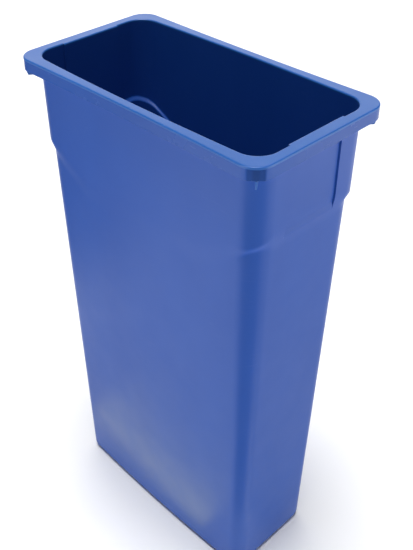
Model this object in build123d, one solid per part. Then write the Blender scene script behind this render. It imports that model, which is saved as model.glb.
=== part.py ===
from build123d import *
import os

# Slim open wastebasket, one plastic moulding divided at its own features.
# Millimetres, +Z up, origin at the middle of the base, long side along X.

# Overall
HEIGHT = 762.0
WALL = 3.0
CUT_MARGIN = 5.0  # how far a cutting solid runs past the faces that it cuts

# A plan outline is (length, width, crown, corner radius). The crown is how far the middle
# of a long side stands out from a straight line between its two corners.
RIM_OUTLINE = (448.0, 243.0, -3.5, 27.0)
COLLAR_TOP_OUTLINE = (423.0, 206.0, 4.5, 33.0)
COLLAR_BOTTOM_OUTLINE = (418.0, 201.5, 2.9, 33.0)
BODY_TOP_OUTLINE = (408.0, 192.0, 7.0, 32.0)
BASE_OUTLINE = (360.0, 156.0, 4.7, 20.0)

# Shoulder: the step from the tapered body out to the wider collar, inside a band of wall
SHOULDER_BOTTOM = 628.0
SHOULDER_TOP = 638.0
BAND_BOTTOM = 560.0
BAND_TOP = 650.0

# Rim: a flat flange with a turned-down skirt
FLANGE_THICKNESS = 3.5
SKIRT_DEPTH = 18.5  # from the top of the rim
SKIRT_THICKNESS = 3.0
RIM_EDGE_RADIUS = 1.2
LIP_RADIUS = 2.0

# Foot: rounded bottom edge, standing ring, and a floor plate lifted inside the ring
FOOT_HEIGHT = 15.0
FOOT_EDGE_RADIUS = 12.0
FOOT_RING_WIDTH = 18.0
FLOOR_TOP = 7.0

# Grip panel: a shallow tray let into the middle of each short end
GRIP_WIDTH = 94.0
GRIP_RECESS = 2.5
GRIP_SIDE = 3.0

# Corner webs under the rim
WEB_THICKNESS = 2.0
WEB_BOTTOM = 731.0

# Worked out from the sizes above
FLANGE_BOTTOM = HEIGHT - FLANGE_THICKNESS
SKIRT_BOTTOM = HEIGHT - SKIRT_DEPTH
GRIP_SPAN = GRIP_WIDTH + 2 * GRIP_SIDE


def inset(outline, distance):
    """The same plan outline, moved in by a distance on every side."""
    length, width, crown, corner = outline
    return (length - 2 * distance, width - 2 * distance, crown, corner - distance)


def blend(low, high, fraction):
    """Outline part of the way from one outline to another."""
    return tuple(start + (end - start) * fraction for start, end in zip(low, high))


def body_section(level):
    """Outer outline of the tapered body at a height, with that height."""
    return blend(BASE_OUTLINE, BODY_TOP_OUTLINE, level / SHOULDER_BOTTOM), level


def collar_section(level):
    """Outer outline of the collar at a height, with that height."""
    fraction = (level - SHOULDER_TOP) / (FLANGE_BOTTOM - SHOULDER_TOP)
    return blend(COLLAR_BOTTOM_OUTLINE, COLLAR_TOP_OUTLINE, fraction), level


def plan(outline, level):
    """Face with straight ends, bowed long sides and rounded corners, at a height."""
    length, width, crown, corner = outline
    x = length / 2
    y = width / 2
    with BuildSketch(Plane.XY.offset(level)) as sketch:
        with BuildLine():
            Line((x, -y), (x, y))
            ThreePointArc((x, y), (0, y + crown), (-x, y))
            Line((-x, y), (-x, -y))
            ThreePointArc((-x, -y), (0, -y - crown), (x, -y))
        make_face()
        fillet(sketch.vertices(), corner)
    return sketch.sketch


def tapered(sections):
    """Solid with straight sides between two (outline, height) sections."""
    return loft([plan(outline, level) for outline, level in sections], ruled=True)


def prism(outline, low, high):
    """Solid with upright sides between two heights."""
    return extrude(plan(outline, low), high - low)


def wall(sections):
    """Tapered wall of the standard thickness between two (outline, height) sections."""
    inner = [(inset(outline, WALL), level) for outline, level in sections]
    return tapered(sections) - tapered(inner)


def bottom_edges(solid):
    return solid.faces().sort_by(Axis.Z)[0].edges()


def top_face(solid):
    return solid.faces().sort_by(Axis.Z)[-1]


# Foot ring: a shallow channel that carries the rounded bottom edge of the bin
def make_foot_ring():
    foot_top_outline, _ = body_section(FOOT_HEIGHT)
    outer = tapered([body_section(0), body_section(FOOT_HEIGHT)])
    outer = fillet(bottom_edges(outer), FOOT_EDGE_RADIUS)
    hollow = tapered([(inset(BASE_OUTLINE, WALL), WALL), (inset(foot_top_outline, WALL), FOOT_HEIGHT)])
    hollow = fillet(bottom_edges(hollow), FOOT_EDGE_RADIUS - WALL)
    inner_web = prism(inset(BASE_OUTLINE, FOOT_RING_WIDTH - WALL), 0, FLOOR_TOP)
    middle = prism(inset(BASE_OUTLINE, FOOT_RING_WIDTH), -CUT_MARGIN, FOOT_HEIGHT + CUT_MARGIN)
    return outer - hollow + inner_web - middle


def make_base_floor():
    return prism(inset(BASE_OUTLINE, FOOT_RING_WIDTH), FLOOR_TOP - WALL, FLOOR_TOP)


def make_body_shell():
    return wall([body_section(FOOT_HEIGHT), body_section(BAND_BOTTOM)])


def cut_for_grips(ring):
    """A ring without the middle of its two ends, above the bottom of the shoulder."""
    gap = Box(RIM_OUTLINE[0], GRIP_SPAN, HEIGHT)
    return ring - Pos(0, 0, SHOULDER_BOTTOM + HEIGHT / 2) * gap


# Shoulder band: a ring of wall with the step in it
def make_shoulder_band():
    below = wall([body_section(BAND_BOTTOM), body_section(SHOULDER_BOTTOM)])
    step = wall([body_section(SHOULDER_BOTTOM), collar_section(SHOULDER_TOP)])
    above = wall([collar_section(SHOULDER_TOP), collar_section(BAND_TOP)])
    return cut_for_grips(below + step + above)


# Collar: the upper wall in a front and a back half, with the grip panels between them
def make_collar_halves():
    halves = cut_for_grips(wall([collar_section(BAND_TOP), collar_section(FLANGE_BOTTOM)]))
    return halves.solids().sort_by(Axis.Y)


def make_slab(points, low_y, high_y):
    """Solid of an (x, height) outline between two places along Y."""
    face = make_face(Polyline([(x, low_y, level) for x, level in points], close=True))
    return extrude(face, high_y - low_y, dir=(0, 1, 0))


# Grip panel: the end wall set in by GRIP_RECESS, with a side wall at each edge of the recess
def make_grip_panel(side):
    body_x = BODY_TOP_OUTLINE[0] / 2
    collar_x = COLLAR_BOTTOM_OUTLINE[0] / 2
    rim_x = COLLAR_TOP_OUTLINE[0] / 2
    recess_x = collar_x - GRIP_RECESS
    shoulder_height = SHOULDER_TOP - SHOULDER_BOTTOM
    recess_bottom = SHOULDER_BOTTOM + shoulder_height * (recess_x - body_x) / (collar_x - body_x)
    foot = (body_x, SHOULDER_BOTTOM)
    proud = [foot, (collar_x, SHOULDER_TOP), (rim_x, FLANGE_BOTTOM)]
    set_in = [foot, (recess_x, recess_bottom), (rim_x - GRIP_RECESS, FLANGE_BOTTOM)]
    inner = [(x - WALL, level) for x, level in reversed(set_in)]
    panel = make_slab(set_in + inner, -GRIP_WIDTH / 2, GRIP_WIDTH / 2)
    near_side = make_slab(proud + inner, -GRIP_SPAN / 2, -GRIP_WIDTH / 2)
    far_side = make_slab(proud + inner, GRIP_WIDTH / 2, GRIP_SPAN / 2)
    right_panel = panel + near_side + far_side
    return right_panel if side > 0 else mirror(right_panel, Plane.YZ)


# Rim flange: the flat top, with a rounded lip around the opening
def make_rim_flange():
    opening_length = COLLAR_TOP_OUTLINE[0] - 2 * WALL
    opening = prism(inset(COLLAR_TOP_OUTLINE, WALL), FLANGE_BOTTOM - CUT_MARGIN, HEIGHT + CUT_MARGIN)
    for side in (-1, 1):
        x = side * opening_length / 2
        opening -= Pos(x, 0, HEIGHT) * Box(2 * GRIP_RECESS, GRIP_SPAN, 4 * CUT_MARGIN)
    flange = prism(RIM_OUTLINE, FLANGE_BOTTOM, HEIGHT) - opening
    top = top_face(flange)
    flange = fillet(top.outer_wire().edges(), RIM_EDGE_RADIUS)
    lip = top_face(flange).inner_wires()[0].edges()
    return fillet(lip, LIP_RADIUS)


def make_rim_skirt():
    outer = prism(RIM_OUTLINE, SKIRT_BOTTOM, FLANGE_BOTTOM)
    inner_outline = inset(RIM_OUTLINE, SKIRT_THICKNESS)
    return outer - prism(inner_outline, SKIRT_BOTTOM - CUT_MARGIN, FLANGE_BOTTOM + CUT_MARGIN)


def corner_middle(outline):
    """Middle of the rounded corner of an outline, on its +X +Y side."""
    length, width, crown, corner = outline
    run_in = corner * (1 - 0.5**0.5)
    return Vector(length / 2 - run_in, width / 2 - run_in)


# Corner webs: upright plates from the collar out to the skirt, one in each corner
def make_corner_webs():
    start = corner_middle(COLLAR_TOP_OUTLINE)
    end = corner_middle(RIM_OUTLINE)
    direction = (end - start).normalized()
    plate = Box(2 * (end - start).length, WEB_THICKNESS, FLANGE_BOTTOM - WEB_BOTTOM)
    web_plane = Plane(
        origin=(end.X, end.Y, (FLANGE_BOTTOM + WEB_BOTTOM) / 2),
        x_dir=(direction.X, direction.Y, 0),
        z_dir=(0, 0, 1),
    )
    web = web_plane * plate
    web &= prism(inset(RIM_OUTLINE, SKIRT_THICKNESS), WEB_BOTTOM, FLANGE_BOTTOM)
    web -= tapered([collar_section(BAND_TOP), collar_section(FLANGE_BOTTOM)])
    back_pair = [web, mirror(web, Plane.YZ)]
    front_pair = [mirror(back_web, Plane.XZ) for back_web in back_pair]
    return Compound(children=[piece.solids()[0] for piece in back_pair + front_pair])


collar_front, collar_back = make_collar_halves()

nodes = {
    "foot_ring": make_foot_ring(),
    "base_floor": make_base_floor(),
    "body_shell": make_body_shell(),
    "shoulder_band": make_shoulder_band(),
    "collar_front": collar_front,
    "collar_back": collar_back,
    "grip_panel_left": make_grip_panel(-1),
    "grip_panel_right": make_grip_panel(1),
    "rim_flange": make_rim_flange(),
    "rim_skirt": make_rim_skirt(),
    "corner_webs": make_corner_webs(),
}

os.makedirs("parts", exist_ok=True)
for name, shape in nodes.items():
    export_step(shape, f"parts/{name}.step")
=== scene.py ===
import math

import bmesh
import bpy
from mathutils import Matrix, Vector


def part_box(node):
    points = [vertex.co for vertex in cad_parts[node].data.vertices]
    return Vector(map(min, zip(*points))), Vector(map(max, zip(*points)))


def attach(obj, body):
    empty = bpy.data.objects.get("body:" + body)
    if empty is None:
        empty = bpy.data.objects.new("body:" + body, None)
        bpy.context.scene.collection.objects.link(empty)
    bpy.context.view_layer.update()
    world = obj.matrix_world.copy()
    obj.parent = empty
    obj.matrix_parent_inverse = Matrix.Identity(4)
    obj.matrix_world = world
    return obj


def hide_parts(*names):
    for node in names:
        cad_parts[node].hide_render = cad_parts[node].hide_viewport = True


# Slim open wastebasket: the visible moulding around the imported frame. Metres throughout.

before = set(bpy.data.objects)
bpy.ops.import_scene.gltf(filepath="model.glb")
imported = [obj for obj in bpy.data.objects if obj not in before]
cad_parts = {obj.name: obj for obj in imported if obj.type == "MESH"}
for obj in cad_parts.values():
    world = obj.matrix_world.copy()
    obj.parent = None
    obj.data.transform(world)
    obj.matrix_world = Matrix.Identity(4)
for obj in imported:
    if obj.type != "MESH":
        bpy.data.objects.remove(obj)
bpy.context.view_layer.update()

# Heights, from the frame
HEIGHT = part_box("rim_flange")[1].z
FLANGE_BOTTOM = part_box("rim_flange")[0].z
SKIRT_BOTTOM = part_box("rim_skirt")[0].z
WEB_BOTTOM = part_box("corner_webs")[0].z
BAND_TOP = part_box("shoulder_band")[1].z
BAND_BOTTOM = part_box("shoulder_band")[0].z
SHOULDER_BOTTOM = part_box("grip_panel_right")[0].z
FOOT_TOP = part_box("foot_ring")[1].z
FLOOR_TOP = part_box("base_floor")[1].z
FLOOR_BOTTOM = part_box("base_floor")[0].z

# Plan outlines: length, width, crown of the long sides, corner radius
RIM_OUTLINE = (0.448, 0.243, -0.0035, 0.027)
COLLAR_TOP_OUTLINE = (0.423, 0.206, 0.0045, 0.033)
COLLAR_BOTTOM_OUTLINE = (0.418, 0.2015, 0.0029, 0.033)
BODY_TOP_OUTLINE = (0.408, 0.192, 0.007, 0.032)
BASE_OUTLINE = (0.360, 0.156, 0.0047, 0.020)

WALL = 0.003

# Shoulder: level across the ends. Along the long sides its step runs down at a slope, from one
# distance from the middle to a smaller one, and is level again nearer the middle
SHOULDER_HEIGHT = 0.010
SHOULDER_TOP = SHOULDER_BOTTOM + SHOULDER_HEIGHT
SHOULDER_SLOPE = 0.54
SHOULDER_TURN_X = 0.203
SHOULDER_END_X = 0.110
# The step's middle above the shoulder's bottom, and half its height: crisp outside at the
# corners, soft outside along the sides and across the ends, and crisp all round inside
LEDGE_RISE = 0.007
LEDGE_CRISP = 0.0066
LEDGE_SOFT = 0.020
LEDGE_INSIDE = 0.003
# How far below and above its middle the wall's finest rows reach
LEDGE_REACH = 0.007
# Between these distances from the middle it turns from soft to crisp, along X and along Y
LEDGE_SOFT_X = (0.165, 0.190)
LEDGE_SOFT_Y = (0.060, 0.084)

# Grip recess in each end: half its width, its depth, half the height of its foot, and how far
# the foot's middle lies above the step's. Its side walls run between two distances from the
# middle of the end, on the wall's outer face and on its inner one
GRIP_HALF_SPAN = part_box("grip_panel_right")[1].y
GRIP_RECESS = 0.0025
RECESS_FOOT = 0.0075
RECESS_RISE = 0.003
GRIP_OUTER_EDGE = (0.0470, 0.0473)
GRIP_INNER_EDGE = (0.0497, GRIP_HALF_SPAN)

# Rim
SKIRT_THICKNESS = 0.003
SKIRT_EDGE_RADIUS = 0.0008
RIM_EDGE_RADIUS = 0.0016
LIP_RADIUS = 0.002
# The skirt stands back a little round the middle of each corner, between these shares of it
SKIRT_SETBACK = 0.0012
SKIRT_SETBACK_SHARES = (0.33, 0.67)

# Short flat strip beside a rounded edge, which keeps the shading of the face next to it flat
EDGE_SUPPORT = 0.001

# Foot
FOOT_EDGE_RADIUS = 0.012
FOOT_RING_WIDTH = 0.018
FOOT_INNER_EDGE_RADIUS = 0.001

# Corner webs, with their free edge under the skirt: distance inside the rim's outer face, height
WEB_THICKNESS = 0.002
WEB_EDGE = 0.0009
WEB_EDGE_STEPS = 4
WEB_SLANT = [(0.0012, SKIRT_BOTTOM), (0.0030, WEB_BOTTOM + 0.004), (0.0045, WEB_BOTTOM)]

# Plastic: the two shades that flow marks mix on each part, then scuffs, and painted shade on the skirt's
# corners
WALL_SHADES = ((0.009, 0.073, 0.382), (0.013, 0.085, 0.418))
SKIRT_SHADES = ((0.010, 0.070, 0.345), (0.014, 0.082, 0.378))
RIM_SHADES = ((0.012, 0.098, 0.376), (0.016, 0.110, 0.412))
PLASTIC_SCUFFED = (0.06, 0.13, 0.45)
# Painted shade: the colour of the skirt's set-back corners, darker than its own, as if the flange shadowed
# them
PAINTED_CORNER_SHADE = (0.009, 0.050, 0.225)
# The skirt turns from its own shade to the painted shade of its corners over twice this much of X plus Y
CORNER_SHADE_BLEND = 0.0010
PLASTIC_IOR = 1.46
# Roughness and the most scuffing of each plastic, and how far clouds and scuffs change roughness
WALL_FINISH = (0.40, 0.25)
RIM_FINISH = (0.34, 0.30)
SKIRT_FINISH = (0.26, 0.15)
BASE_FINISH = (0.45, 0.70)
CLOUDING = 0.03
SCUFF_ROUGHNESS = 0.15
# Textures: scale per metre, detail, and stretch along X, Y and Z
FLOW = (7.0, 3, (1, 1, 0.35))
SCRATCHES = (60.0, 6, (1, 1, 9))
SCUFFS = (18.0, 4, (1, 1, 1))
CLOUDS = (25.0, 4, (1, 1, 1))
PEEL = (700.0, 2, (1, 1, 1))
WAVES = (30.0, 2, (1, 1, 0.5))
# The part of a texture's own range that goes from none to all of its effect
BROAD_RANGE = (0.30, 0.70)
SCRATCH_RANGE = (0.56, 0.70)
SCUFF_RANGE = (0.50, 0.68)
# How high the orange peel and the slow waves stand
PEEL_HEIGHT = 0.00002
WAVE_HEIGHT = 0.00006

# Studio
FLOOR_HALF = 12.0
FLOOR_COLOUR = (0.88, 0.88, 0.88)
FLOOR_SPECULAR = 0.1
MATT = 0.9
# Cards on the floor, for reflections only: heights, colours, and outlines in plan. The glowing
# strip makes the light streak low on the front, and the front card is part of a ring
CARD_LIFT = 0.001
GLOW_CARD_LIFT = 0.002
DARK_CARD = (0.08, 0.08, 0.08)
GREY_CARD = (0.50, 0.50, 0.50)
PALE_CARD = (0.60, 0.60, 0.60)
GLOW_CARD = (1.0, 0.95, 0.35)
GLOW = 1.6
LEFT_CARD = [(-0.45, -0.42), (-1.36, -1.28), (-2.6, -1.3), (-2.6, 0.0), (-0.75, -0.15)]
RIGHT_CARD = [(0.2, 0.0), (1.1, 0.07), (1.1, 0.95), (0.2, 0.95)]
NEAR_CARD = [(-0.45, -0.12), (0.12, -0.12), (0.05, -0.42), (-0.42, -0.40)]
GLOW_STRIP = [(-0.24, -0.134), (0.09, -0.104), (0.09, -0.143), (-0.24, -0.166)]
FRONT_CARD_CENTRE = (0.19, -0.09)
FRONT_CARD_ANGLES = (266, 364)
FRONT_CARD_RADII = (0.07, 2.5)
FRONT_CARD_STEPS = 8
# Lights
OVERHEAD_STRENGTH = 3.52
OVERHEAD_ANGLE = 28.0
OVERHEAD_DIRECTION = (0.02, 0.05, -1)
# Name, place, what it faces, width, height, spread in degrees, power
AREA_LIGHTS = [
    ("front_fill", (-0.3, -2.9, 0.45), (0, 0, 0.85), 1.6, 0.6, 80, 6.1),
    ("side_fill", (2.4, 1.2, 0.45), (0, 0, 0.85), 1.6, 0.6, 80, 6.8),
    ("back_softbox", (-2.1, 2.0, 1.75), (0, 0, 0.76), 3.0, 1.6, 180, 26.0),
]
WORLD_COLOUR = (0.95, 0.97, 1.0)
WORLD_STRENGTH = 0.111

# Camera: its angles are in degrees and its lens in millimetres
CAMERA_PLACE = Vector((0.7377, -0.7213, 1.2349))
CAMERA_YAW = 46.883
CAMERA_PITCH = 30.448
CAMERA_ROLL = 0.793
CAMERA_LENS = 56.65
CAMERA_SHIFT = (0.0573, -0.2)

# How finely a quarter of the plan is divided: places across the grip, then steps along the rest of
# the end, the corner and the long side
GRIP_PLACES = [0.0, 0.015, 0.030, 0.040, 0.0455, 0.0470, 0.0473, 0.0485, 0.0497]
END_STEPS = 3
CORNER_STEPS = 14
SIDE_STEPS = 20
# Rows of the wall: from the band's bottom to the step, in each of the step's two soft ends, in
# its middle, from the step to the band's top, and up the body and the collar
BELOW_LEDGE_STEPS = 4
LEDGE_END_STEPS = 4
LEDGE_STEPS = 14
ABOVE_LEDGE_STEPS = 3
BODY_STEPS = 11
COLLAR_STEPS = 6
# Height of the row at each end of a piece of wall, then how far the even rows between them keep
# from the body's two ends, from the collar's low end and from its high one
ROW_GAP = 0.002
BODY_END_ROW = 0.04
COLLAR_LOW_ROW = 0.006
COLLAR_HIGH_ROW = 0.02
# Straight parts in each rounded edge of a cross-section
RIM_EDGE_STEPS = 5
LIP_STEPS = 6
SKIRT_EDGE_STEPS = 3
FOOT_EDGE_STEPS = 8
FOOT_HOLLOW_STEPS = 5
FOOT_INNER_EDGE_STEPS = 3
# Edges where the faces turn by more than this stay sharp
SHARP_TURN = math.radians(35)


def smoothstep(value):
    share = min(1.0, max(0.0, value))
    return share * share * (3 - 2 * share)


def blend(low, high, share):
    return tuple(start + (end - start) * share for start, end in zip(low, high))


def inset(outline, distance):
    """The same plan outline, moved in by a distance on every side."""
    length, width, crown, corner = outline
    return (length - 2 * distance, width - 2 * distance, crown, corner - distance)


def body_outline(level):
    return blend(BASE_OUTLINE, BODY_TOP_OUTLINE, level / SHOULDER_BOTTOM)


def collar_outline(level):
    share = (level - SHOULDER_TOP) / (FLANGE_BOTTOM - SHOULDER_TOP)
    return blend(COLLAR_BOTTOM_OUTLINE, COLLAR_TOP_OUTLINE, share)


# A column is one place around the plan: the signs of its quarter, a part of the quarter, and
# how far along that part it is: a share of it, or for the grip the distance from its middle.
# Every outline has a point for every column.
def quarter_columns():
    columns = [("grip", y) for y in GRIP_PLACES]
    columns += [("end", step / END_STEPS) for step in range(END_STEPS)]
    columns += [("corner", step / CORNER_STEPS) for step in range(CORNER_STEPS)]
    columns += [("side", step / SIDE_STEPS) for step in range(SIDE_STEPS + 1)]
    return columns


def all_columns():
    quarter = quarter_columns()
    columns = [(1, 1, part, share) for part, share in quarter]
    columns += [(-1, 1, part, share) for part, share in reversed(quarter[:-1])]
    columns += [(-1, -1, part, share) for part, share in quarter[1:]]
    columns += [(1, -1, part, share) for part, share in reversed(quarter[1:-1])]
    return columns


COLUMNS = all_columns()


def place(column, outline):
    """The point of a column on an outline."""
    sign_x, sign_y, part, share = column
    length, width, crown, corner = outline
    way = 1 if crown > 0 else -1
    bow_radius = ((length / 2) ** 2 + crown ** 2) / (2 * abs(crown))
    bow_y = width / 2 + crown - way * bow_radius
    corner_x = length / 2 - corner
    reach = bow_radius - way * corner
    corner_y = bow_y + way * math.sqrt(reach ** 2 - corner_x ** 2)
    turn = math.atan2(way * (corner_y - bow_y), way * corner_x)
    if part == "grip":
        x, y = length / 2, share
    elif part == "end":
        x, y = length / 2, GRIP_HALF_SPAN + (corner_y - GRIP_HALF_SPAN) * share
    elif part == "corner":
        x, y = corner_x + corner * math.cos(turn * share), corner_y + corner * math.sin(turn * share)
    else:
        angle = turn + (math.pi / 2 - turn) * share
        x, y = way * bow_radius * math.cos(angle), bow_y + way * bow_radius * math.sin(angle)
    return Vector((sign_x * x, sign_y * y))


def recess_depth(column, depth):
    """How far the grip recess sets the collar's end in, on its outer face or its inner one."""
    _, _, part, share = column
    if part != "grip":
        return 0.0
    low, high = GRIP_INNER_EDGE if depth > 0 else GRIP_OUTER_EDGE
    return GRIP_RECESS * (1 - smoothstep((share - low) / (high - low)))


def ledge_middle(column):
    """How high the middle of the shoulder's step is on a column."""
    x = abs(place(column, BODY_TOP_OUTLINE).x)
    run = max(0.0, SHOULDER_TURN_X - max(x, SHOULDER_END_X))
    return SHOULDER_BOTTOM + LEDGE_RISE - SHOULDER_SLOPE * run


def ledge_half(column, depth):
    """Half the height that the shoulder's step takes on a column, outside or inside."""
    if depth > 0:
        return LEDGE_INSIDE
    point = place(column, BODY_TOP_OUTLINE)
    along_side = (abs(point.x) - LEDGE_SOFT_X[0]) / (LEDGE_SOFT_X[1] - LEDGE_SOFT_X[0])
    along_end = (abs(point.y) - LEDGE_SOFT_Y[0]) / (LEDGE_SOFT_Y[1] - LEDGE_SOFT_Y[0])
    crispness = smoothstep(min(along_side, along_end))
    return LEDGE_SOFT + (LEDGE_CRISP - LEDGE_SOFT) * crispness


def wall_point(column, level, depth):
    """A point on the wall, a depth inside its outer face."""
    rise = level - ledge_middle(column)
    share = smoothstep(0.5 + rise / (2 * ledge_half(column, depth)))
    recess_share = smoothstep(0.5 + (rise - RECESS_RISE) / (2 * RECESS_FOOT))
    body = place(column, inset(body_outline(level), depth))
    collar = place(column, inset(collar_outline(level), depth))
    point = body.lerp(collar, share)
    return Vector((point.x - column[0] * recess_depth(column, depth) * recess_share, point.y, level))


def spread(low, high, steps):
    return [low + (high - low) * step / steps for step in range(steps + 1)]


# A column's rows, from the bottom of a piece of wall to its top. Every column has as many.
def body_levels(column):
    middle = spread(FOOT_TOP + BODY_END_ROW, BAND_BOTTOM - BODY_END_ROW, BODY_STEPS)
    return [FOOT_TOP, FOOT_TOP + ROW_GAP] + middle + [BAND_BOTTOM - ROW_GAP, BAND_BOTTOM]


def band_levels(column):
    """Rows from the band's bottom up through the step's lower end, its middle and its upper end."""
    middle = ledge_middle(column)
    low_end = middle - LEDGE_SOFT
    low = middle - LEDGE_REACH
    high = middle + LEDGE_REACH
    high_end = min(middle + LEDGE_SOFT, BAND_TOP - ROW_GAP)
    levels = [BAND_BOTTOM] + spread(BAND_BOTTOM + ROW_GAP, low_end, BELOW_LEDGE_STEPS)
    levels += spread(low_end, low, LEDGE_END_STEPS)[1:] + spread(low, high, LEDGE_STEPS)[1:]
    levels += spread(high, high_end, LEDGE_END_STEPS)[1:]
    return levels + spread(high_end, BAND_TOP, ABOVE_LEDGE_STEPS)[1:]


def collar_levels(column):
    middle = spread(BAND_TOP + COLLAR_LOW_ROW, FLANGE_BOTTOM - COLLAR_HIGH_ROW, COLLAR_STEPS)
    return [BAND_TOP, BAND_TOP + ROW_GAP] + middle + [FLANGE_BOTTOM - ROW_GAP, FLANGE_BOTTOM]


# The row of the band that lies at the bottom of the grip panels
BAND_NOTCH_ROW = 1 + BELOW_LEDGE_STEPS + LEDGE_END_STEPS


def grip_levels(column):
    return band_levels(column)[BAND_NOTCH_ROW:-1] + collar_levels(column)


def cell_middle(index):
    """Middle of the strip of wall from a column to the next one, in plan."""
    after = (index + 1) % len(COLUMNS)
    return (place(COLUMNS[index], BODY_TOP_OUTLINE) + place(COLUMNS[after], BODY_TOP_OUTLINE)) / 2


def is_grip_cell(index):
    return abs(cell_middle(index).y) < GRIP_HALF_SPAN


def new_piece(name, vertices, faces):
    """A mesh object, smooth except along the edges where its faces turn sharply."""
    mesh = bpy.data.meshes.new(name)
    mesh.from_pydata(vertices, [], faces)
    shape = bmesh.new()
    shape.from_mesh(mesh)
    bmesh.ops.recalc_face_normals(shape, faces=shape.faces)
    for face in shape.faces:
        face.smooth = True
    for edge in shape.edges:
        edge.smooth = edge.calc_face_angle(0) < SHARP_TURN
    shape.to_mesh(mesh)
    shape.free()
    piece = bpy.data.objects.new(name, mesh)
    bpy.context.scene.collection.objects.link(piece)
    return piece


def make_wall(name, levels, covers):
    """A closed piece of wall. covers(column index, row) says which cells of the wall it has."""
    count = len(COLUMNS)
    rows = [levels(column) for column in COLUMNS]
    vertices = []
    numbers = {}
    faces = []

    def number(depth, index, row):
        key = (depth, index % count, row)
        if key not in numbers:
            numbers[key] = len(vertices)
            vertices.append(wall_point(COLUMNS[key[1]], rows[key[1]][row], depth))
        return numbers[key]

    cells = [(index, row) for index in range(count) for row in range(len(rows[0]) - 1)
             if covers(index, row)]
    present = set(cells)
    for index, row in cells:
        corners = [(index, row), (index + 1, row), (index + 1, row + 1), (index, row + 1)]
        faces.append([number(0.0, *corner) for corner in corners])
        faces.append([number(WALL, *corner) for corner in reversed(corners)])
        beside = [(index, row - 1), ((index + 1) % count, row),
                  (index, row + 1), ((index - 1) % count, row)]
        for side, neighbour in enumerate(beside):
            if neighbour in present:
                continue
            start = corners[side]
            end = corners[(side + 1) % 4]
            outer = (number(0.0, *start), number(0.0, *end))
            inner = (number(WALL, *start), number(WALL, *end))
            faces.append([outer[1], outer[0], inner[0], inner[1]])
    return new_piece(name, vertices, faces)


def make_ring(name, profile):
    """A closed ring. profile(column) gives the points of its cross-section in order."""
    count = len(COLUMNS)
    sections = [profile(column) for column in COLUMNS]
    size = len(sections[0])
    vertices = [point for section in sections for point in section]
    faces = []
    for index in range(count):
        here = index * size
        after = (index + 1) % count * size
        for station in range(size):
            following = (station + 1) % size
            faces.append([here + station, after + station, after + following, here + following])
    return new_piece(name, vertices, faces)


def at(column, outline, outward, level, recess=0.0):
    """The point of a column a distance outside an outline, at a height."""
    point = place(column, inset(outline, -outward))
    return Vector((point.x - column[0] * recess, point.y, level))


def arc(column, outline, outward, level, radius, start, end, steps, recess=0.0):
    """Points round part of a circle in the cross-section, between two angles in degrees."""
    angles = [math.radians(angle) for angle in spread(start, end, steps)]
    return [at(column, outline, outward + radius * math.cos(angle), level + radius * math.sin(angle), recess)
            for angle in angles]


def rim_flange_section(column):
    opening = inset(COLLAR_TOP_OUTLINE, WALL)
    recess = recess_depth(column, WALL)
    edge = RIM_EDGE_RADIUS
    lip = LIP_RADIUS
    points = [at(column, RIM_OUTLINE, 0, FLANGE_BOTTOM)]
    points += arc(column, RIM_OUTLINE, -edge, HEIGHT - edge, edge, 0, 90, RIM_EDGE_STEPS)
    points.append(at(column, RIM_OUTLINE, -edge - EDGE_SUPPORT, HEIGHT))
    points.append(at(column, opening, lip + EDGE_SUPPORT, HEIGHT, recess))
    points += arc(column, opening, lip, HEIGHT - lip, lip, 90, 180, LIP_STEPS, recess)
    points.append(at(column, opening, 0, FLANGE_BOTTOM, recess))
    return points


def rim_skirt_section(column):
    edge = SKIRT_EDGE_RADIUS
    low, high = SKIRT_SETBACK_SHARES
    face = -SKIRT_SETBACK if column[2] == "corner" and low < column[3] < high else 0.0
    points = [at(column, RIM_OUTLINE, -SKIRT_THICKNESS, FLANGE_BOTTOM)]
    points += arc(column, RIM_OUTLINE, edge - SKIRT_THICKNESS, SKIRT_BOTTOM + edge, edge, 180, 270,
                  SKIRT_EDGE_STEPS)
    points += arc(column, RIM_OUTLINE, face - edge, SKIRT_BOTTOM + edge, edge, 270, 360, SKIRT_EDGE_STEPS)
    points.append(at(column, RIM_OUTLINE, face, SKIRT_BOTTOM + edge + EDGE_SUPPORT))
    points.append(at(column, RIM_OUTLINE, face, FLANGE_BOTTOM))
    return points


def setback_reach():
    """Length plus width of the place where the skirt's setback starts, from the middle."""
    start = place((1, 1, "corner", SKIRT_SETBACK_SHARES[0]), inset(RIM_OUTLINE, SKIRT_SETBACK))
    return start.x + start.y


def foot_ring_section(column):
    web = FOOT_RING_WIDTH
    edge = FOOT_EDGE_RADIUS
    small = FOOT_INNER_EDGE_RADIUS
    top = body_outline(FOOT_TOP)
    points = [at(column, top, 0, FOOT_TOP), at(column, body_outline(edge), 0, edge + EDGE_SUPPORT)]
    points += arc(column, body_outline(edge), -edge, edge, edge, 0, -90, FOOT_EDGE_STEPS)
    points += arc(column, BASE_OUTLINE, small - web, small, small, -90, -180, FOOT_INNER_EDGE_STEPS)
    points.append(at(column, BASE_OUTLINE, -web, FLOOR_TOP))
    points.append(at(column, BASE_OUTLINE, WALL - web, FLOOR_TOP))
    points.append(at(column, BASE_OUTLINE, WALL - web, WALL))
    points += arc(column, body_outline(edge), -edge, edge, edge - WALL, -90, 0, FOOT_HOLLOW_STEPS)
    points.append(at(column, top, -WALL, FOOT_TOP))
    return points


def make_base_floor():
    count = len(COLUMNS)
    outline = inset(BASE_OUTLINE, FOOT_RING_WIDTH)
    vertices = [at(column, outline, 0, level) for level in (FLOOR_BOTTOM, FLOOR_TOP) for column in COLUMNS]
    faces = [list(range(count)), list(range(count, 2 * count))]
    for index in range(count):
        after = (index + 1) % count
        faces.append([index, after, count + after, count + index])
    return new_piece("base_floor_moulding", vertices, faces)


def corner_middle(outline):
    """Middle of the rounded corner of an outline, in the +X +Y quarter."""
    length, width, crown, corner = outline
    run_in = corner * (1 - math.sqrt(0.5))
    return Vector((length / 2 - run_in, width / 2 - run_in))


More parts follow.
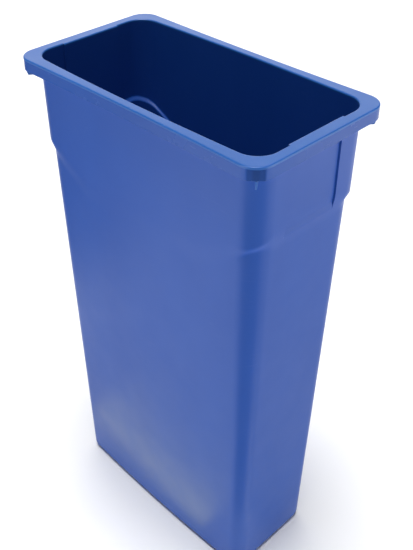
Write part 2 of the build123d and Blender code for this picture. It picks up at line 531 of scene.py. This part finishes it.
def web_outline():
    """The web's side view: (place on the line from the wall to the rim's corner, height)."""
    wall = corner_middle(COLLAR_TOP_OUTLINE)
    rim = corner_middle(RIM_OUTLINE)
    direction = (rim - wall).normalized()
    reach = (rim - wall).length

    def wall_place(level):
        return (corner_middle(collar_outline(level)) - wall).dot(direction)

    def rim_place(distance):
        return reach - distance

    points = [(wall_place(FLANGE_BOTTOM), FLANGE_BOTTOM), (rim_place(SKIRT_THICKNESS), FLANGE_BOTTOM),
              (rim_place(SKIRT_THICKNESS), SKIRT_BOTTOM)]
    points += [(rim_place(distance), level) for distance, level in WEB_SLANT]
    points.append((wall_place(WEB_BOTTOM), WEB_BOTTOM))
    return wall, direction, points


def make_corner_webs():
    wall, direction, outline = web_outline()
    across = Vector((-direction.y, direction.x))
    count = len(outline)
    vertices = []
    faces = []
    for sign_x, sign_y in ((1, 1), (-1, 1), (-1, -1), (1, -1)):
        first = len(vertices)
        for side in (-WEB_THICKNESS / 2, WEB_THICKNESS / 2):
            for distance, level in outline:
                point = wall + direction * distance + across * side
                vertices.append(Vector((sign_x * point.x, sign_y * point.y, level)))
        faces += [[first + step for step in range(count)], [first + count + step for step in range(count)]]
        for step in range(count):
            after = (step + 1) % count
            faces.append([first + step, first + after, first + count + after, first + count + step])
    webs = new_piece("corner_webs_moulding", vertices, faces)
    bevel = webs.modifiers.new("edges", "BEVEL")
    bevel.width = WEB_EDGE
    bevel.segments = WEB_EDGE_STEPS
    return webs


# Materials. Every texture follows the object's own coordinates, in metres.
def add_noise(nodes, links, source, texture):
    scale, detail, stretch = texture
    mapping = nodes.new("ShaderNodeMapping")
    mapping.inputs["Scale"].default_value = stretch
    links.new(source, mapping.inputs["Vector"])
    noise = nodes.new("ShaderNodeTexNoise")
    noise.inputs["Scale"].default_value = scale
    noise.inputs["Detail"].default_value = detail
    links.new(mapping.outputs["Vector"], noise.inputs["Vector"])
    return noise.outputs["Fac"]


def add_range(nodes, links, source, present, wanted):
    """The source, with one (low, high) range stretched to another."""
    remap = nodes.new("ShaderNodeMapRange")
    remap.inputs["From Min"].default_value = present[0]
    remap.inputs["From Max"].default_value = present[1]
    remap.inputs["To Min"].default_value = wanted[0]
    remap.inputs["To Max"].default_value = wanted[1]
    links.new(source, remap.inputs["Value"])
    return remap.outputs["Result"]


def add_math(nodes, links, operation, first, second):
    node = nodes.new("ShaderNodeMath")
    node.operation = operation
    for socket, value in zip(node.inputs, (first, second)):
        if isinstance(value, (int, float)):
            socket.default_value = value
        else:
            links.new(value, socket)
    return node.outputs["Value"]


def add_mix(nodes, links, share, first, second):
    mix = nodes.new("ShaderNodeMix")
    mix.data_type = "RGBA"
    links.new(share, mix.inputs["Factor"])
    for name, value in (("A", first), ("B", second)):
        socket = [item for item in mix.inputs if item.name == name and item.type == "RGBA"][0]
        if isinstance(value, tuple):
            socket.default_value = (*value, 1)
        else:
            links.new(value, socket)
    return [item for item in mix.outputs if item.type == "RGBA"][0]


def add_corner_shade_share(nodes, links, source):
    """Mask of painted shade: 1 on the set-back part of each rounded corner of the skirt, 0 elsewhere."""
    split = nodes.new("ShaderNodeSeparateXYZ")
    links.new(source, split.inputs["Vector"])
    reach = add_math(nodes, links, "ADD", add_math(nodes, links, "ABSOLUTE", split.outputs["X"], 0),
                     add_math(nodes, links, "ABSOLUTE", split.outputs["Y"], 0))
    edge = setback_reach()
    return add_range(nodes, links, reach, (edge - CORNER_SHADE_BLEND, edge + CORNER_SHADE_BLEND), (0, 1))


def make_plastic(name, shades, finish, with_painted_corner_shade=False):
    """Blue polyethylene: orange peel, faint flow marks, scuffs where it is handled, and painted corner shade
    if asked.
    """
    roughness, scuffing = finish
    material = bpy.data.materials.new(name)
    material.use_nodes = True
    nodes = material.node_tree.nodes
    links = material.node_tree.links
    shader = nodes["Principled BSDF"]
    shader.inputs["IOR"].default_value = PLASTIC_IOR
    on_object = nodes.new("ShaderNodeTexCoord").outputs["Object"]

    flow = add_range(nodes, links, add_noise(nodes, links, on_object, FLOW), BROAD_RANGE, (0, 1))
    colour = add_mix(nodes, links, flow, *shades)

    scratches = add_noise(nodes, links, on_object, SCRATCHES)
    scuffs = add_noise(nodes, links, on_object, SCUFFS)
    marks = add_math(nodes, links, "MULTIPLY", add_range(nodes, links, scratches, SCRATCH_RANGE, (0, 1)),
                     add_range(nodes, links, scuffs, SCUFF_RANGE, (0, scuffing)))
    colour = add_mix(nodes, links, marks, colour, PLASTIC_SCUFFED)
    # Painted shade: the skirt's set-back corners are darkened as if the flange shadowed them
    if with_painted_corner_shade:
        corners = add_corner_shade_share(nodes, links, on_object)
        colour = add_mix(nodes, links, corners, colour, PAINTED_CORNER_SHADE)
    links.new(colour, shader.inputs["Base Color"])

    clouds = add_noise(nodes, links, on_object, CLOUDS)
    gloss = add_range(nodes, links, clouds, BROAD_RANGE, (roughness - CLOUDING, roughness + CLOUDING))
    dulling = add_math(nodes, links, "MULTIPLY", marks, SCUFF_ROUGHNESS)
    links.new(add_math(nodes, links, "ADD", gloss, dulling), shader.inputs["Roughness"])

    peel = add_math(nodes, links, "MULTIPLY", add_noise(nodes, links, on_object, PEEL), PEEL_HEIGHT)
    waves = add_math(nodes, links, "MULTIPLY", add_noise(nodes, links, on_object, WAVES), WAVE_HEIGHT)
    bump = nodes.new("ShaderNodeBump")
    bump.inputs["Distance"].default_value = 1.0
    bump.inputs["Strength"].default_value = 1.0
    links.new(add_math(nodes, links, "ADD", peel, waves), bump.inputs["Height"])
    links.new(bump.outputs["Normal"], shader.inputs["Normal"])
    return material


def make_floor_material():
    material = bpy.data.materials.new("studio_floor")
    material.use_nodes = True
    shader = material.node_tree.nodes["Principled BSDF"]
    shader.inputs["Base Color"].default_value = (*FLOOR_COLOUR, 1)
    shader.inputs["Roughness"].default_value = MATT
    shader.inputs["Specular IOR Level"].default_value = FLOOR_SPECULAR
    return material


# Studio
def make_studio_floor():
    vertices = [(x * FLOOR_HALF, y * FLOOR_HALF, 0) for x, y in ((-1, -1), (1, -1), (1, 1), (-1, 1))]
    floor = new_piece("studio_floor", vertices, [[0, 1, 2, 3]])
    floor.data.materials.append(make_floor_material())


def make_card(name, outline, colour, lift=CARD_LIFT, glow=0.0):
    """A card on the floor that only reflections see, which changes the floor's tone in them."""
    card = new_piece(name, [(x, y, lift) for x, y in outline], [list(range(len(outline)))])
    material = bpy.data.materials.new(name)
    material.use_nodes = True
    shader = material.node_tree.nodes["Principled BSDF"]
    shader.inputs["Base Color"].default_value = (*colour, 1)
    shader.inputs["Roughness"].default_value = MATT
    shader.inputs["Emission Color"].default_value = (*colour, 1)
    shader.inputs["Emission Strength"].default_value = glow
    card.data.materials.append(material)
    card.visible_camera = False
    card.visible_diffuse = False
    card.visible_shadow = False


def make_cards():
    make_card("left_card", LEFT_CARD, DARK_CARD)
    make_card("right_card", RIGHT_CARD, GREY_CARD)
    make_card("near_card", NEAR_CARD, PALE_CARD)
    make_card("glow_strip", GLOW_STRIP, GLOW_CARD, GLOW_CARD_LIFT, GLOW)
    centre = Vector(FRONT_CARD_CENTRE)
    angles = [math.radians(angle) for angle in spread(*FRONT_CARD_ANGLES, FRONT_CARD_STEPS)]
    rays = [Vector((math.cos(angle), math.sin(angle))) for angle in angles]
    inner, outer = FRONT_CARD_RADII
    outline = [centre + ray * inner for ray in rays] + [centre + ray * outer for ray in reversed(rays)]
    make_card("front_card", [tuple(point) for point in outline], DARK_CARD)


def make_area_light(name, location, target, width, height, beam, power):
    data = bpy.data.lights.new(name, "AREA")
    data.shape = "RECTANGLE"
    data.size = width
    data.size_y = height
    data.energy = power
    data.spread = math.radians(beam)
    light = bpy.data.objects.new(name, data)
    light.location = location
    light.rotation_euler = (Vector(target) - Vector(location)).to_track_quat("-Z", "Y").to_euler()
    light.visible_camera = False
    bpy.context.scene.collection.objects.link(light)


def make_sun(name, direction, strength, angle):
    data = bpy.data.lights.new(name, "SUN")
    data.energy = strength
    data.angle = math.radians(angle)
    light = bpy.data.objects.new(name, data)
    light.rotation_euler = Vector(direction).to_track_quat("-Z", "Y").to_euler()
    bpy.context.scene.collection.objects.link(light)


def make_world():
    """A dim fill from all round, behind which the camera sees a white background."""
    world = bpy.data.worlds.new("studio")
    world.use_nodes = True
    nodes = world.node_tree.nodes
    links = world.node_tree.links
    fill = nodes["Background"]
    fill.inputs["Color"].default_value = (*WORLD_COLOUR, 1)
    fill.inputs["Strength"].default_value = WORLD_STRENGTH
    seen = nodes.new("ShaderNodeBackground")
    seen.inputs["Color"].default_value = (1, 1, 1, 1)
    mix = nodes.new("ShaderNodeMixShader")
    links.new(nodes.new("ShaderNodeLightPath").outputs["Is Camera Ray"], mix.inputs[0])
    links.new(fill.outputs[0], mix.inputs[1])
    links.new(seen.outputs[0], mix.inputs[2])
    links.new(mix.outputs[0], nodes["World Output"].inputs["Surface"])
    bpy.context.scene.world = world


def make_lights():
    make_sun("overhead", OVERHEAD_DIRECTION, OVERHEAD_STRENGTH, OVERHEAD_ANGLE)
    for light in AREA_LIGHTS:
        make_area_light(*light)
    make_world()


def make_camera():
    data = bpy.data.cameras.new("camera")
    data.lens = CAMERA_LENS
    data.shift_x, data.shift_y = CAMERA_SHIFT
    camera = bpy.data.objects.new("camera", data)
    turn = Matrix.Rotation(math.radians(CAMERA_YAW), 4, "Z")
    tilt = Matrix.Rotation(math.radians(90 - CAMERA_PITCH), 4, "X")
    roll = Matrix.Rotation(math.radians(-CAMERA_ROLL), 4, "Z")
    camera.matrix_world = Matrix.Translation(CAMERA_PLACE) @ turn @ tilt @ roll
    bpy.context.scene.collection.objects.link(camera)
    bpy.context.scene.camera = camera


def finish_piece(piece, node, material):
    piece.data.materials.append(material)
    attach(piece, "root")
    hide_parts(node)


def make_bin():
    wall_plastic = make_plastic("wall_plastic", WALL_SHADES, WALL_FINISH)
    rim_plastic = make_plastic("rim_plastic", RIM_SHADES, RIM_FINISH)
    skirt_plastic = make_plastic("skirt_plastic", SKIRT_SHADES, SKIRT_FINISH, with_painted_corner_shade=True)
    base_plastic = make_plastic("base_plastic", WALL_SHADES, BASE_FINISH)

    def below_grips(index, row):
        return row < BAND_NOTCH_ROW or not is_grip_cell(index)

    def grip_on(side):
        return lambda index, row: is_grip_cell(index) and side * cell_middle(index).x > 0

    def collar_on(side):
        return lambda index, row: not is_grip_cell(index) and side * cell_middle(index).y > 0

    walls = [
        ("body_shell", body_levels, lambda index, row: True),
        ("shoulder_band", band_levels, below_grips),
        ("collar_back", collar_levels, collar_on(1)),
        ("collar_front", collar_levels, collar_on(-1)),
        ("grip_panel_left", grip_levels, grip_on(-1)),
        ("grip_panel_right", grip_levels, grip_on(1)),
    ]
    for node, levels, covers in walls:
        finish_piece(make_wall(node + "_moulding", levels, covers), node, wall_plastic)

    finish_piece(make_ring("rim_flange_moulding", rim_flange_section), "rim_flange", rim_plastic)
    finish_piece(make_ring("rim_skirt_moulding", rim_skirt_section), "rim_skirt", skirt_plastic)
    finish_piece(make_corner_webs(), "corner_webs", rim_plastic)
    finish_piece(make_ring("foot_ring_moulding", foot_ring_section), "foot_ring", base_plastic)
    finish_piece(make_base_floor(), "base_floor", base_plastic)


make_camera()
make_studio_floor()
make_cards()
make_lights()
make_bin()
bpy.context.scene.view_settings.view_transform = "Standard"
